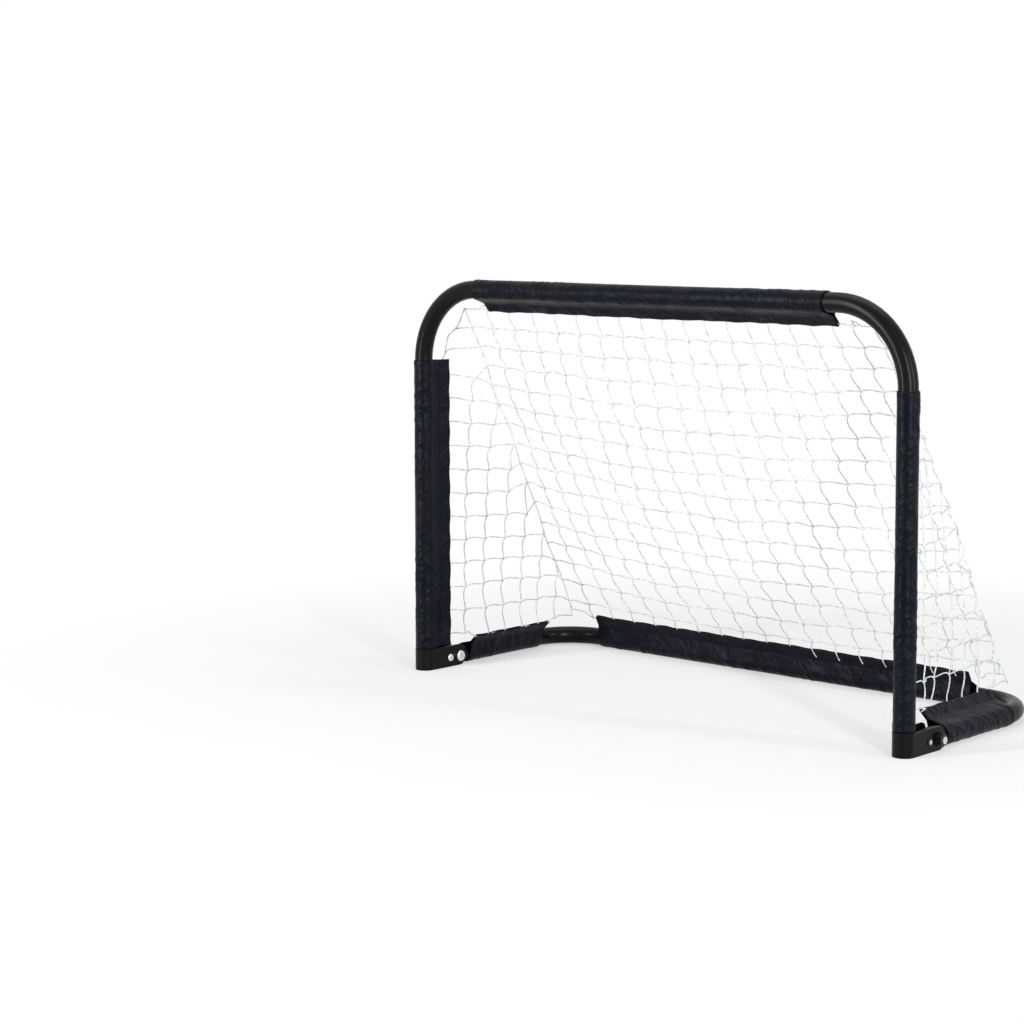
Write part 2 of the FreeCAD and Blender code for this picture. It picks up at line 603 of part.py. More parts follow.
def nets():
    cord = size("net_cord")
    low = Vector(0, rear, base_axis)
    slope = upper_anchor() - low
    length = slope.Length
    slope.normalize()
    # plan line of a side panel, from the upright's flap to the rear end of the arm's flap
    inward, back = flap_direction("upright_flap_angle")
    overhang = flap_half * back + size("net_gap") + cord / 2
    front_x = post - flap_reach * inward - overhang
    front_y = front + flap_reach * back - cord
    arm_in, arm_up = flap_direction("arm_flap_angle")
    arm_x = post - flap_reach * arm_in
    lean = (front_x - arm_x) / (arm_sleeve_end - front_y)

    def side_x(y):
        return front_x - lean * (y - front_y)

    def half_width(reach):
        return side_x(low.y + slope.y * reach) + cord / 2

    corner_side = size("net_corner_side")
    corner_down = size("net_corner_down")
    foot_side = size("net_foot_side")
    foot_up = size("net_foot_up")
    right = [Vector(half_width(flap_reach) - foot_side, flap_reach, 0),
             Vector(half_width(flap_reach + foot_up), flap_reach + foot_up, 0),
             Vector(half_width(length - corner_down), length - corner_down, 0),
             Vector(half_width(length) - corner_side, length, 0)]
    left = [Vector(-point.x, point.y, 0) for point in reversed(right)]
    sideways_x = Vector(1, 0, 0)
    back_place = Placement(low, Rotation(sideways_x, slope, sideways_x.cross(slope), "XYZ"))
    mesh_panel("net_back", right + left, Vector(size("net_mesh") / 2, length, 0), back_place)

    # a side panel reaches back to the front face of the back panel
    def seam_y(z):
        reach = (z - low.z) / slope.z
        return low.y + slope.y * reach - cord / 2 / slope.z - size("net_seam")

    bottom = base_axis + flap_reach * arm_up + flap_half * arm_up
    front_top = upright_top + size("net_rise") / 2
    seam_top = upright_top + size("net_rise") * 1.5
    stretch = math.hypot(1, lean)
    for name, side in sides:
        direction = Vector(-side * lean, 1, 0).normalize()
        corners = [(front_y, bottom), (seam_y(bottom), bottom),
                   (seam_y(seam_top), seam_top), (front_y, front_top)]
        outline = [Vector((y - front_y) * stretch, z, 0) for y, z in corners]
        up = Vector(0, 0, 1)
        place = Placement(Vector(side * front_x, front_y, 0),
                          Rotation(direction, up, direction.cross(up), "XYZ"))
        mesh_panel("net_" + name, outline, Vector(0, bottom, 0), place)


# Assembly
front_frame_tube()
base_frame_tube()
for name, side in sides:
    foot_bracket(name, side)
    foot_plug(name, side)
    pivot_hardware(name, side)
    stop_hardware(name, side)
    inward, back = flap_direction("upright_flap_angle")
    sleeve(name + "_upright", Vector(side * post, front, upright_foot), Vector(0, 0, 1),
           Vector(-side * inward, back, 0), upright_top - upright_foot)
    inward, up = flap_direction("arm_flap_angle")
    sleeve(name + "_arm", Vector(side * post, arm_sleeve_start, base_axis), Vector(0, 1, 0),
           Vector(-side * inward, 0, up), arm_sleeve_end - arm_sleeve_start)
back, down = flap_direction("crossbar_flap_angle")
sleeve("crossbar",
       Vector(size("sleeve_shift") - size("crossbar_sleeve") / 2, front, size("crossbar_height")),
       Vector(1, 0, 0), Vector(0, back, -down), size("crossbar_sleeve"))
rear_flap = (upper_anchor() - Vector(0, rear, base_axis)).normalize()
sleeve("rear_bar", Vector(size("sleeve_shift") - size("rear_sleeve") / 2, rear, base_axis),
       Vector(1, 0, 0), rear_flap, size("rear_sleeve"))
nets()
doc.recompute()

# Checks, then one file for each sub-part
for obj in doc.Objects:
    if "Invalid" in obj.State or "Error" in obj.State:
        raise RuntimeError("failed feature: " + obj.Name)
single = ("front_frame_tube", "base_frame_tube", "net_back", "net_left", "net_right")
per_side = ("foot_bracket", "foot_plug", "pivot_bolt", "pivot_washer", "pivot_nut",
            "pivot_spacers", "arm_bush", "stop_bolt", "stop_nut")
wrapped = ("crossbar", "rear_bar", "left_upright", "right_upright", "left_arm", "right_arm")
nodes = list(single)
nodes += ["%s_%s" % (name, part) for name, side in sides for part in per_side]
nodes += [name + part for name in wrapped for part in ("_sleeve", "_hook_strip", "_loop_strip")]
os.makedirs("parts", exist_ok=True)
for node in nodes:
    obj = doc.getObjectsByLabel(node)[0]
    if obj.Shape.isNull() or not obj.Shape.isValid():
        raise RuntimeError("bad shape: " + node)
    obj.Shape.exportStep("parts/%s.step" % node)
print(len(nodes), "nodes written")
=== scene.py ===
import math
import bmesh
import bpy
from mathutils import Matrix, Vector, noise


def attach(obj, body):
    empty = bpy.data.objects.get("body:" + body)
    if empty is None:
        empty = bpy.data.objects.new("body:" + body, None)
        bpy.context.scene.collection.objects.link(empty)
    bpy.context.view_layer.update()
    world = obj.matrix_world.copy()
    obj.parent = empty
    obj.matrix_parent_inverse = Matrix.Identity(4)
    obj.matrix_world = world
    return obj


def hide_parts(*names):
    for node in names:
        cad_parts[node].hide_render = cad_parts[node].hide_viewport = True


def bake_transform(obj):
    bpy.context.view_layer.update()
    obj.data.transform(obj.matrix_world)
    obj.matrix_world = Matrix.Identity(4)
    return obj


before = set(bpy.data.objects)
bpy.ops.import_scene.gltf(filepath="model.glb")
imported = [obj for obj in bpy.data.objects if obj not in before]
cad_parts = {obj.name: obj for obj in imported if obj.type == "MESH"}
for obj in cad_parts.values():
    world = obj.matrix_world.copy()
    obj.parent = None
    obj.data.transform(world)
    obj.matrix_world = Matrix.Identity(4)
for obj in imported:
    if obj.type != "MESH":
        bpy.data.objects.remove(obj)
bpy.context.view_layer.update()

# Folding street goal. Metres, in the frame of the CAD model: X along the crossbar, Y back, Z up.
goal = {
    "post": 0.4365,         # uprights and arms, from the middle
    "crossbar": 0.5865,     # crossbar's axis above the floor
    "front": -0.1635,       # plane of the uprights' axes
    "rear": 0.1645,         # rear bar's axis
    "base": 0.0145,         # arms' and rear bar's axis above the floor
}
mesh = 0.0425               # spacing of the net's cords along a flap


def linear(hexColour):
    parts = [int(hexColour[i:i + 2], 16) / 255 for i in (1, 3, 5)]
    return tuple(c / 12.92 if c <= 0.04045 else ((c + 0.055) / 1.055) ** 2.4 for c in parts) + (1,)


def addNode(tree, kind, settings=None, inputs=None):
    node = tree.nodes.new(kind)
    for name, value in (settings or {}).items():
        setattr(node, name, value)
    for name, value in (inputs or {}).items():
        if isinstance(value, bpy.types.NodeSocket):
            tree.links.new(value, node.inputs[name])
        else:
            node.inputs[name].default_value = value
    return node


def newMaterial(name, constants):
    material = bpy.data.materials.new(name)
    material.use_nodes = True
    tree = material.node_tree
    shader = tree.nodes["Principled BSDF"]
    for socket, value in constants.items():
        shader.inputs[socket].default_value = value
    return material, tree, shader


# Materials
def powderCoat():
    # gloss black polyester powder coat over steel: deep black, a faint orange peel, soft streaks
    material, tree, shader = newMaterial("glossBlackPowderCoat", {
        "IOR": 1.35, "Specular IOR Level": 0.22})
    place = addNode(tree, "ShaderNodeTexCoord").outputs["Object"]
    cloud = addNode(tree, "ShaderNodeTexNoise", None, {
        "Vector": place, "Scale": 14.0, "Detail": 3.0})
    tone = addNode(tree, "ShaderNodeMix", {"data_type": "RGBA"}, {
        "Factor": cloud.outputs["Fac"], "A": linear("#030304"), "B": linear("#08080a")})
    tree.links.new(tone.outputs["Result"], shader.inputs["Base Color"])
    gloss = addNode(tree, "ShaderNodeMapRange", None, {
        "Value": cloud.outputs["Fac"], "From Min": 0.3, "From Max": 0.7,
        "To Min": 0.25, "To Max": 0.33})
    tree.links.new(gloss.outputs["Result"], shader.inputs["Roughness"])
    # orange peel about 1.5 mm across
    peel = addNode(tree, "ShaderNodeTexNoise", None, {
        "Vector": place, "Scale": 650.0, "Detail": 1.0})
    bump = addNode(tree, "ShaderNodeBump", None, {
        "Height": peel.outputs["Fac"], "Strength": 0.04, "Distance": 0.0005})
    tree.links.new(bump.outputs["Normal"], shader.inputs["Normal"])
    return material


def zincPlate():
    # bright zinc plating on rolled steel: silvery, slightly clouded, fine turning marks
    material, tree, shader = newMaterial("brightZincPlating", {"Metallic": 1.0})
    place = addNode(tree, "ShaderNodeTexCoord").outputs["Object"]
    cloud = addNode(tree, "ShaderNodeTexNoise", None, {
        "Vector": place, "Scale": 420.0, "Detail": 2.0})
    tone = addNode(tree, "ShaderNodeMix", {"data_type": "RGBA"}, {
        "Factor": cloud.outputs["Fac"], "A": linear("#c9ccd0"), "B": linear("#eceded")})
    tree.links.new(tone.outputs["Result"], shader.inputs["Base Color"])
    gloss = addNode(tree, "ShaderNodeMapRange", None, {
        "Value": cloud.outputs["Fac"], "To Min": 0.16, "To Max": 0.32})
    tree.links.new(gloss.outputs["Result"], shader.inputs["Roughness"])
    marks = addNode(tree, "ShaderNodeTexNoise", None, {"Vector": place, "Scale": 2600.0})
    bump = addNode(tree, "ShaderNodeBump", None, {
        "Height": marks.outputs["Fac"], "Strength": 0.08, "Distance": 0.0002})
    tree.links.new(bump.outputs["Normal"], shader.inputs["Normal"])
    return material


def blackOxide():
    # black-coated steel nuts and washers: dark, half gloss, paler where the coat is rubbed
    material, tree, shader = newMaterial("blackOxideSteel", {"Metallic": 0.7})
    place = addNode(tree, "ShaderNodeTexCoord").outputs["Object"]
    rub = addNode(tree, "ShaderNodeTexNoise", None, {
        "Vector": place, "Scale": 380.0, "Detail": 3.0})
    tone = addNode(tree, "ShaderNodeMix", {"data_type": "RGBA"}, {
        "Factor": rub.outputs["Fac"], "A": linear("#101113"), "B": linear("#3a3b3e")})
    tree.links.new(tone.outputs["Result"], shader.inputs["Base Color"])
    gloss = addNode(tree, "ShaderNodeMapRange", None, {
        "Value": rub.outputs["Fac"], "To Min": 0.22, "To Max": 0.45})
    tree.links.new(gloss.outputs["Result"], shader.inputs["Roughness"])
    return material


def mouldedPlastic(name, dark, pale):
    # black polyethylene or nylon: matt, with the mould's fine grain
    material, tree, shader = newMaterial(name, {"IOR": 1.5, "Specular IOR Level": 0.25})
    place = addNode(tree, "ShaderNodeTexCoord").outputs["Object"]
    grain = addNode(tree, "ShaderNodeTexNoise", None, {
        "Vector": place, "Scale": 1500.0, "Detail": 2.0})
    tone = addNode(tree, "ShaderNodeMix", {"data_type": "RGBA"}, {
        "Factor": grain.outputs["Fac"], "A": linear(dark), "B": linear(pale)})
    tree.links.new(tone.outputs["Result"], shader.inputs["Base Color"])
    gloss = addNode(tree, "ShaderNodeMapRange", None, {
        "Value": grain.outputs["Fac"], "To Min": 0.45, "To Max": 0.65})
    tree.links.new(gloss.outputs["Result"], shader.inputs["Roughness"])
    bump = addNode(tree, "ShaderNodeBump", None, {
        "Height": grain.outputs["Fac"], "Strength": 0.12, "Distance": 0.0003})
    tree.links.new(bump.outputs["Normal"], shader.inputs["Normal"])
    return material


def coatedFabric():
    # black oxford polyester with a polyurethane coat: navy-black, soft gloss, creased
    material, tree, shader = newMaterial("coatedOxfordFabric", {
        "IOR": 1.25, "Specular IOR Level": 0.3})
    coords = addNode(tree, "ShaderNodeTexCoord")
    place, flat = coords.outputs["Object"], coords.outputs["UV"]
    wash = addNode(tree, "ShaderNodeTexNoise", None, {
        "Vector": place, "Scale": 26.0, "Detail": 4.0})
    tone = addNode(tree, "ShaderNodeMix", {"data_type": "RGBA"}, {
        "Factor": wash.outputs["Fac"], "A": linear("#020213"), "B": linear("#08080f")})
    tree.links.new(tone.outputs["Result"], shader.inputs["Base Color"])
    gloss = addNode(tree, "ShaderNodeMapRange", None, {
        "Value": wash.outputs["Fac"], "From Min": 0.3, "From Max": 0.7,
        "To Min": 0.32, "To Max": 0.42})
    tree.links.new(gloss.outputs["Result"], shader.inputs["Roughness"])
    # the weave is 0.5 mm; 1.4 mm here, so that it shows
    heights = []
    for axis in ("X", "Y"):
        wave = addNode(tree, "ShaderNodeTexWave", {"bands_direction": axis}, {
            "Vector": flat, "Scale": 0.314 / 0.0014, "Distortion": 0.6, "Detail": 1.0})
        heights.append(wave.outputs["Fac"])
    weave = addNode(tree, "ShaderNodeMath", {"operation": "MULTIPLY"})
    tree.links.new(heights[0], weave.inputs[0])
    tree.links.new(heights[1], weave.inputs[1])
    fine = addNode(tree, "ShaderNodeBump", None, {
        "Height": weave.outputs["Value"], "Strength": 0.18, "Distance": 0.0003})
    # slanting creases, 9 mm apart and 35 mm long
    slant = addNode(tree, "ShaderNodeMapping", {"vector_type": "TEXTURE"}, {
        "Vector": flat, "Rotation": (0, 0, 0.7), "Scale": (0.009, 0.035, 1)})
    crease = addNode(tree, "ShaderNodeTexNoise", None, {
        "Vector": slant.outputs["Vector"], "Scale": 1.0, "Detail": 3.0, "Distortion": 0.9})
    calm = addNode(tree, "ShaderNodeMapRange", None, {
        "Value": wash.outputs["Fac"], "From Min": 0.42, "From Max": 0.6, "To Min": 0.15})
    height = addNode(tree, "ShaderNodeMath", {"operation": "MULTIPLY"})
    tree.links.new(crease.outputs["Fac"], height.inputs[0])
    tree.links.new(calm.outputs["Result"], height.inputs[1])
    bump = addNode(tree, "ShaderNodeBump", None, {
        "Height": height.outputs["Value"], "Strength": 0.8, "Distance": 0.004,
        "Normal": fine.outputs["Normal"]})
    tree.links.new(bump.outputs["Normal"], shader.inputs["Normal"])
    return material


def closureTape():
    # black hook and loop tape: matt nylon pile
    material, tree, shader = newMaterial("hookAndLoopTape", {
        "Specular IOR Level": 0.15, "Sheen Weight": 0.03, "Roughness": 0.9})
    place = addNode(tree, "ShaderNodeTexCoord").outputs["Object"]
    pile = addNode(tree, "ShaderNodeTexVoronoi", None, {"Vector": place, "Scale": 900.0})
    tone = addNode(tree, "ShaderNodeMix", {"data_type": "RGBA"}, {
        "Factor": pile.outputs["Distance"], "A": linear("#101012"), "B": linear("#050506")})
    tree.links.new(tone.outputs["Result"], shader.inputs["Base Color"])
    bump = addNode(tree, "ShaderNodeBump", None, {
        "Height": pile.outputs["Distance"], "Strength": 0.5, "Distance": 0.0006})
    tree.links.new(bump.outputs["Normal"], shader.inputs["Normal"])
    return material


def netTwine():
    # twisted white polyethylene twine: the shade in the grooves between the strands is painted in
    # as grey dashes
    material, tree, shader = newMaterial("twistedNetTwine", {
        "Roughness": 0.6, "Specular IOR Level": 0.3})
    place = addNode(tree, "ShaderNodeTexCoord").outputs["Object"]
    # the twist's 3 mm is too fine to show, so the painted groove shade comes as dashes 8 mm long
    twistBumpAndGrooveShade = addNode(tree, "ShaderNodeTexNoise", None, {
        "Vector": place, "Scale": 120.0, "Detail": 1.0})
    # painted shade: grey dashes, darker than the white twine, stand in for the grooves' shade
    paintedGrooveShade = addNode(tree, "ShaderNodeValToRGB", None, {"Fac": twistBumpAndGrooveShade.outputs["Fac"]})
    paintedGrooveShade.color_ramp.elements[0].position = 0.32
    paintedGrooveShade.color_ramp.elements[0].color = linear("#b3b5b7")
    paintedGrooveShade.color_ramp.elements[1].position = 0.68
    paintedGrooveShade.color_ramp.elements[1].color = linear("#d9dadb")
    tree.links.new(paintedGrooveShade.outputs["Color"], shader.inputs["Base Color"])
    bump = addNode(tree, "ShaderNodeBump", None, {
        "Height": twistBumpAndGrooveShade.outputs["Fac"], "Strength": 0.3, "Distance": 0.0006})
    tree.links.new(bump.outputs["Normal"], shader.inputs["Normal"])
    return material


paint = powderCoat()
zinc = zincPlate()
oxide = blackOxide()
nylon = mouldedPlastic("blackNylon", "#141416", "#232326")
polythene = mouldedPlastic("blackPolythene", "#0d0d0f", "#1a1a1c")
fabric = coatedFabric()
tape = closureTape()
twine = netTwine()
print("materials made")

finishes = {"_tube": paint, "_bracket": paint, "_plug": polythene, "_spacers": nylon, "_bolt": zinc,
            "_nut": oxide, "_washer": oxide, "_bush": zinc}
for name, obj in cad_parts.items():
    for ending, material in finishes.items():
        if name.endswith(ending):
            obj.data.materials.clear()
            obj.data.materials.append(material)
print("CAD nodes dressed")


def makePiece(name, form, material, body=None):
    data = bpy.data.meshes.new(name)
    form.to_mesh(data)
    form.free()
    obj = bpy.data.objects.new(name, data)
    bpy.context.scene.collection.objects.link(obj)
    data.materials.append(material)
    for face in data.polygons:
        face.use_smooth = True
    if body:
        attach(obj, body)
    return obj


# Fabric sleeves: a band wrapped round each tube, its two edges joined in a flap
band = {
    "radius": 0.014,        # middle of the cloth round the tube
    "cloth": 0.001,         # thickness
    "crease": 0.025,        # where the edges meet, from the tube's axis
    "reach": 0.043,         # flap's edge, from the tube's axis
    "apart": 0.0012,        # middle of each layer from the flap's middle
    "step": 0.0026,         # spacing of the mesh
    "hem": 0.008,           # turned-in edge at each end
    "hemRise": 0.0004,
    "flatter": 0.75,        # share of the creases that the flap is without
    "pull": 0.0012,         # scallop of the flap's edge between two cords
    "floor": 0.0007,        # lowest middle of the cloth
}
creases = {
    "endReach": 0.11,       # creases fade within this of a sleeve's end
    "lean": 0.7,            # how they slant across the band
    "apart": 0.02, "long": 0.07, "width": 0.22,
    "crossApart": 0.012, "crossLong": 0.05, "crossWidth": 0.3, "crossShare": 0.25,
    "sharp": 0.8, "soft": 0.6,
}
tapes = {"short": 0.008, "narrow": 0.002, "start": 0.004, "step": 0.006, "apart": 0.00033,
         "thick": 0.0006}
# up the net's taut plane, and the way it hangs from that plane
slope, plumb = Vector((0, -0.4861, 0.8739)), Vector((0, -0.8739, -0.4861))
dip, turnIn, armTilt = math.radians(50), math.radians(70), math.radians(45)
sleeves = {
    "crossbarSleeve": {
        "cad": "crossbar", "body": "front", "tube": "front_frame_tube", "length": 0.634,
        "seed": 3.1,
        "start": (-0.325, goal["front"], goal["crossbar"]), "along": (1, 0, 0),
        "flap": (0, math.cos(dip), -math.sin(dip)), "fold": 0.0017, "calm": 0.2, "wave": 0.0016},
    "rearBarSleeve": {
        "cad": "rear_bar", "body": "base", "tube": "base_frame_tube", "length": 0.695, "seed": 8.7,
        "start": (-0.3555, goal["rear"], goal["base"]), "along": (1, 0, 0),
        "flap": slope, "fold": 0.0019, "calm": 0.7, "wave": 0.002},
}
for word, side in (("left", -1), ("right", 1)):
    sleeves[word + "UprightSleeve"] = {
        "cad": word + "_upright", "body": "front", "tube": "front_frame_tube", "length": 0.443,
        "seed": 15.2 + 7 * side, "start": (side * goal["post"], goal["front"], 0.0335),
        "along": (0, 0, 1), "flap": (-side * math.cos(turnIn), math.sin(turnIn), 0),
        "fold": 0.0012, "calm": 0.6, "wave": 0.0008}
    sleeves[word + "ArmSleeve"] = {
        "cad": word + "_arm", "body": "base", "tube": "base_frame_tube", "length": 0.1684,
        "seed": 27.9 + 5 * side, "start": (side * goal["post"], -0.0809, goal["base"]),
        "along": (0, 1, 0), "flap": (-side * math.cos(armTilt), 0, math.sin(armTilt)),
        "fold": 0.0014, "calm": 0.8, "wave": 0.0012}

creaseFar = math.hypot(band["apart"], band["crease"])
touchAngle = math.atan2(band["apart"], band["crease"]) + math.acos(band["radius"] / creaseFar)
arcHalf = (math.pi - touchAngle) * band["radius"]
tangent = math.sqrt(creaseFar ** 2 - band["radius"] ** 2)
halfBand = arcHalf + tangent + band["reach"] - band["crease"]


# Point of the band's section and its outward direction, in the section's plane
def bandPoint(across):
    side = 1 if across >= 0 else -1
    far = abs(across)
    if far <= arcHalf:
        angle = math.pi - far / band["radius"]
        out = Vector((math.cos(angle), math.sin(angle)))
        point = out * band["radius"]
    elif far <= arcHalf + tangent:
        out = Vector((math.cos(touchAngle), math.sin(touchAngle)))
        step = Vector((out.y, -out.x)) * (far - arcHalf)
        point = out * band["radius"] + step
    else:
        out = Vector((0, 1))
        point = Vector((band["crease"] + far - arcHalf - tangent, band["apart"]))
    return Vector((point.x, side * point.y)), Vector((out.x, side * out.y))


def smoothStep(low, high, value):
    t = min(max((value - low) / (high - low), 0), 1)
    return t * t * (3 - 2 * t)


# How far the cloth stands out at a point: slanting creases, stronger near the ends
def foldHeight(sleeve, along, across):
    seed = sleeve["seed"]
    end = min(along, sleeve["length"] - along)
    strength = sleeve["calm"] + (1 - sleeve["calm"]) * math.exp(-max(end, 0) / creases["endReach"])
    lean = creases["lean"] if across > 0 else -creases["lean"]
    p = (along + lean * across) / creases["apart"]
    q = (across - lean * along) / creases["long"]
    slant = noise.noise(Vector((p, q, seed)))
    cross = noise.noise(Vector((along / creases["crossApart"], across / creases["crossLong"],
                                seed + 11)))
    ridge = max(0, 1 - abs(slant) / creases["width"])
    ridge += creases["crossShare"] * max(0, 1 - abs(cross) / creases["crossWidth"])
    slow = 0.5 + 0.5 * noise.noise(Vector((along / 0.06, across / 0.03, seed + 5)))
    patch = smoothStep(-0.15, 0.3, noise.noise(Vector((along / 0.09, across / 0.06, seed + 21))))
    return sleeve["fold"] * (strength * (creases["sharp"] * ridge * patch + creases["soft"] * slow))


# Sideways wave of the flap, nothing at the crease and most at its edge
def flapLift(sleeve, along, beyond):
    seed = sleeve["seed"]
    share = min(max(beyond / (band["reach"] - band["crease"]), 0), 1.2)
    wave = noise.noise(Vector((along / 0.06, 0.3, seed + 40)))
    wave += 0.5 * noise.noise(Vector((along / 0.024, 0.7, seed + 44)))
    return sleeve["wave"] * wave * share ** 1.4


# Point on the dressed sleeve, along the tube and across the band
def sleevePlace(sleeve, along, across):
    start, axis = Vector(sleeve["start"]), Vector(sleeve["along"])
    flap = Vector(sleeve["flap"])
    sideways = axis.cross(flap)
    point, out = bandPoint(across)
    beyond = abs(across) - arcHalf - tangent
    end = min(along, sleeve["length"] - along)
    hem = band["hemRise"] * (1 - smoothStep(band["hem"] - 0.0012, band["hem"] + 0.0004, end))
    height = foldHeight(sleeve, along, across) * smoothStep(-0.002, 0.014, end + 0.004)
    onFlap = smoothStep(-0.004, 0.004, beyond)
    height = height * (1 - band["flatter"] * onFlap) + hem
    point = point + out * height
    # the net pulls the flap's edge out at every cord and lets it slacken between
    pull = 0.5 - 0.5 * math.cos(2 * math.pi * (along / mesh + sleeve["seed"]))
    point.x -= band["pull"] * pull * smoothStep(0.006, 0.018, beyond)
    point.y += flapLift(sleeve, along, beyond)
    place = start + axis * along + flap * point.x + sideways * point.y
    place.z = max(place.z, band["floor"])
    return place


def makeSleeve(name, sleeve):
    form = bmesh.new()
    uvs = form.loops.layers.uv.new("UVMap")
    rows = round(sleeve["length"] / band["step"])
    columns = round(2 * halfBand / band["step"])
    bmesh.ops.create_grid(form, x_segments=rows, y_segments=columns, size=0.5)
    for vert in form.verts:
        vert.co = Vector(((vert.co.x + 0.5) * sleeve["length"], vert.co.y * 2 * halfBand, 0))
    for face in form.faces:
        for loop in face.loops:
            loop[uvs].uv = loop.vert.co.xy
    for vert in form.verts:
        vert.co = sleevePlace(sleeve, vert.co.x, vert.co.y)
    bmesh.ops.recalc_face_normals(form, faces=form.faces)
    piece = makePiece(name, form, fabric, sleeve["body"])
    shell = piece.modifiers.new("cloth", "SOLIDIFY")
    shell.thickness = band["cloth"]
    shell.offset = 0
    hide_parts(sleeve["cad"] + "_sleeve")


# Closure tape between the flap's layers, following the flap's wave
def makeTape(name, sleeve, side, node):
    length = sleeve["length"] - tapes["short"]
    width = band["reach"] - band["crease"] - tapes["narrow"]
    form = bmesh.new()
    bmesh.ops.create_grid(form, x_segments=round(length / tapes["step"]), y_segments=3, size=0.5)
    start, axis, flap = Vector(sleeve["start"]), Vector(sleeve["along"]), Vector(sleeve["flap"])
    sideways = axis.cross(flap)
    for vert in form.verts:
        along = tapes["start"] + (vert.co.x + 0.5) * length
        beyond = (vert.co.y + 0.5) * width
        off = flapLift(sleeve, along, beyond) + side * tapes["apart"]
        vert.co = start + axis * along + flap * (band["crease"] + beyond) + sideways * off
    bmesh.ops.recalc_face_normals(form, faces=form.faces)
    piece = makePiece(name, form, tape, sleeve["body"])
    shell = piece.modifiers.new("tape", "SOLIDIFY")
    shell.thickness = tapes["thick"]
    shell.offset = 0
    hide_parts(node)


for name, sleeve in sleeves.items():
    makeSleeve(name, sleeve)
    stem = name.replace("Sleeve", "")
    makeTape(stem + "HookTape", sleeve, 1, sleeve["cad"] + "_hook_strip")
    makeTape(stem + "LoopTape", sleeve, -1, sleeve["cad"] + "_loop_strip")
print("sleeves wrapped")


# Net: a back panel and two side panels of knotted twine, hung from the flaps' edges
net = {
    "cord": 0.00095,        # radius
    "cuts": 6,              # points between two knots
    "turn": 0.85,           # how far a cord turns aside where it leaves a knot, in meshes
    "lift": 0.5,            # the same for the cords that run across
    "belly": 0.03,          # slack of the back panel, below its taut plane
    "knot": 0.0018,         # radius
    "firstColumn": -1, "lastColumn": 18,    # the seams with the side panels
    "rightBump": 0.017,     # how far the right-hand seam stands out past the left-hand one
    "stray": 0.0045, "sideStray": 0.005,
    "over": 0.0026,         # lift of the cords that cross the rear flap's face
    "rowsDown": 15.43,      # meshes from the crossbar's flap down to the rear bar's
    "sideColumn": 0.0385,   # side panels: column and row spacing
    "sideRow": 0.0366,
    "sideFront": -0.131, "sideTop": 0.451,  # their first column and row
}
low = Vector((0, goal["rear"], goal["base"]))
flapTips = {"upright": (0.4218, -0.1241), "arm": (0.4061, 0.0449), "uprightTop": 0.4765}


# Smooth two-way curve, terms[i][j] of column^i row^j, from -1 to 1 across and 0 to 1 down
def spread(terms, column, row):
    across, down = (column - 8.5) / 9.5, row / net["rowsDown"]
    return sum(value * across ** i * down ** j
               for i, line in enumerate(terms) for j, value in enumerate(line))


# in millimetres; the columns are bunched to the right on the crossbar and even on the rear bar
acrossTerms = ((28.7, -8.9, -6.3), (358.6, 183.9, -136.0),
               (-32.9, 45.3, -27.9), (13.1, -178.7, 159.5))
downTerms = ((619.4, -533.4, -44.9), (-0.3, 0.7, 0), (-1.0, 41.6, -31.1))


# How far the back panel hangs below its taut plane
def slack(up, x):
    share = min(max((up - 0.043) / 0.5716, 0), 1)
    return net["belly"] * 4 * share * (1 - share) * (1 - 0.667 * (min(abs(x), 0.376) / 0.376) ** 2)


def stray(point, seed):
    p = point * 11
    return Vector((noise.noise(p + Vector((seed, 0, 0))), noise.noise(p + Vector((0, seed, 5))),
                   noise.noise(p + Vector((9, 0, seed)))))


# Keeps the cords between a flap's layers: they follow its wave, less and less away from it
def heldShift(point):
    shift = Vector((0, 0, 0))
    for sleeve in sleeves.values():
        axis, flap = Vector(sleeve["along"]), Vector(sleeve["flap"])
        away = point - Vector(sleeve["start"])
        along, out = away.dot(axis), away.dot(flap)
        sideways = axis.cross(flap)
        beside = -0.004 < along < sleeve["length"] + 0.004
        if beside and out < 0.08 and abs(away.dot(sideways)) < 0.03:
            hold = 1 - smoothStep(band["reach"], 0.075, out)
            beyond = min(out, band["reach"]) - band["crease"]
            shift += sideways * flapLift(sleeve, along, beyond) * hold
            inside = 1 - smoothStep(band["reach"] - 0.001, band["reach"] + 0.01, out)
            shift -= sideways * away.dot(sideways) * inside
    return shift


# A cord leaves its knot askew and swings back to the next one
def cordShift(share, seed):
    return share * (1 - share) ** 2 * (1 + 0.45 * noise.noise(Vector((seed, 0.5, 1.5))))


def backPoint(column, row):
    s, t = column - math.floor(column), row - math.floor(row)
    onColumn, onRow = min(s, 1 - s) < 0.01, min(t, 1 - t) < 0.01
    if onColumn and not onRow:
        column -= net["turn"] * cordShift(t, column * 3.7 + math.floor(row) * 1.9)
    if onRow and not onColumn:
        row -= net["lift"] * cordShift(s, row * 2.3 + math.floor(column) * 4.1)
    held = smoothStep(-0.5, 0, column) * (1 - smoothStep(17, 17.4, column))
    row = min(max(row, -0.25 * held), net["rowsDown"] + 0.28 * held)
    column = min(max(column, net["firstColumn"]), net["lastColumn"])
    x = spread(acrossTerms, column, row) / 1000
    down = min(max(row / net["rowsDown"], 0), 1)
    x += net["rightBump"] * 4 * down * (1 - down) * smoothStep(12, 18, column)
    up = spread(downTerms, column, row) / 1000
    point = low + slope * up + Vector((x, 0, 0))
    free = smoothStep(0.05, 0.12, up) * (1 - smoothStep(0.54, 0.6, up))
    point += plumb * slack(up, x) + stray(point, 3) * net["stray"] * free
    # on the right the cords come over the face of the rear bar's flap
    over = smoothStep(-0.02, 0.12, x) * (1 - smoothStep(0.043, 0.06, up))
    return point + heldShift(point) + plumb * net["over"] * over


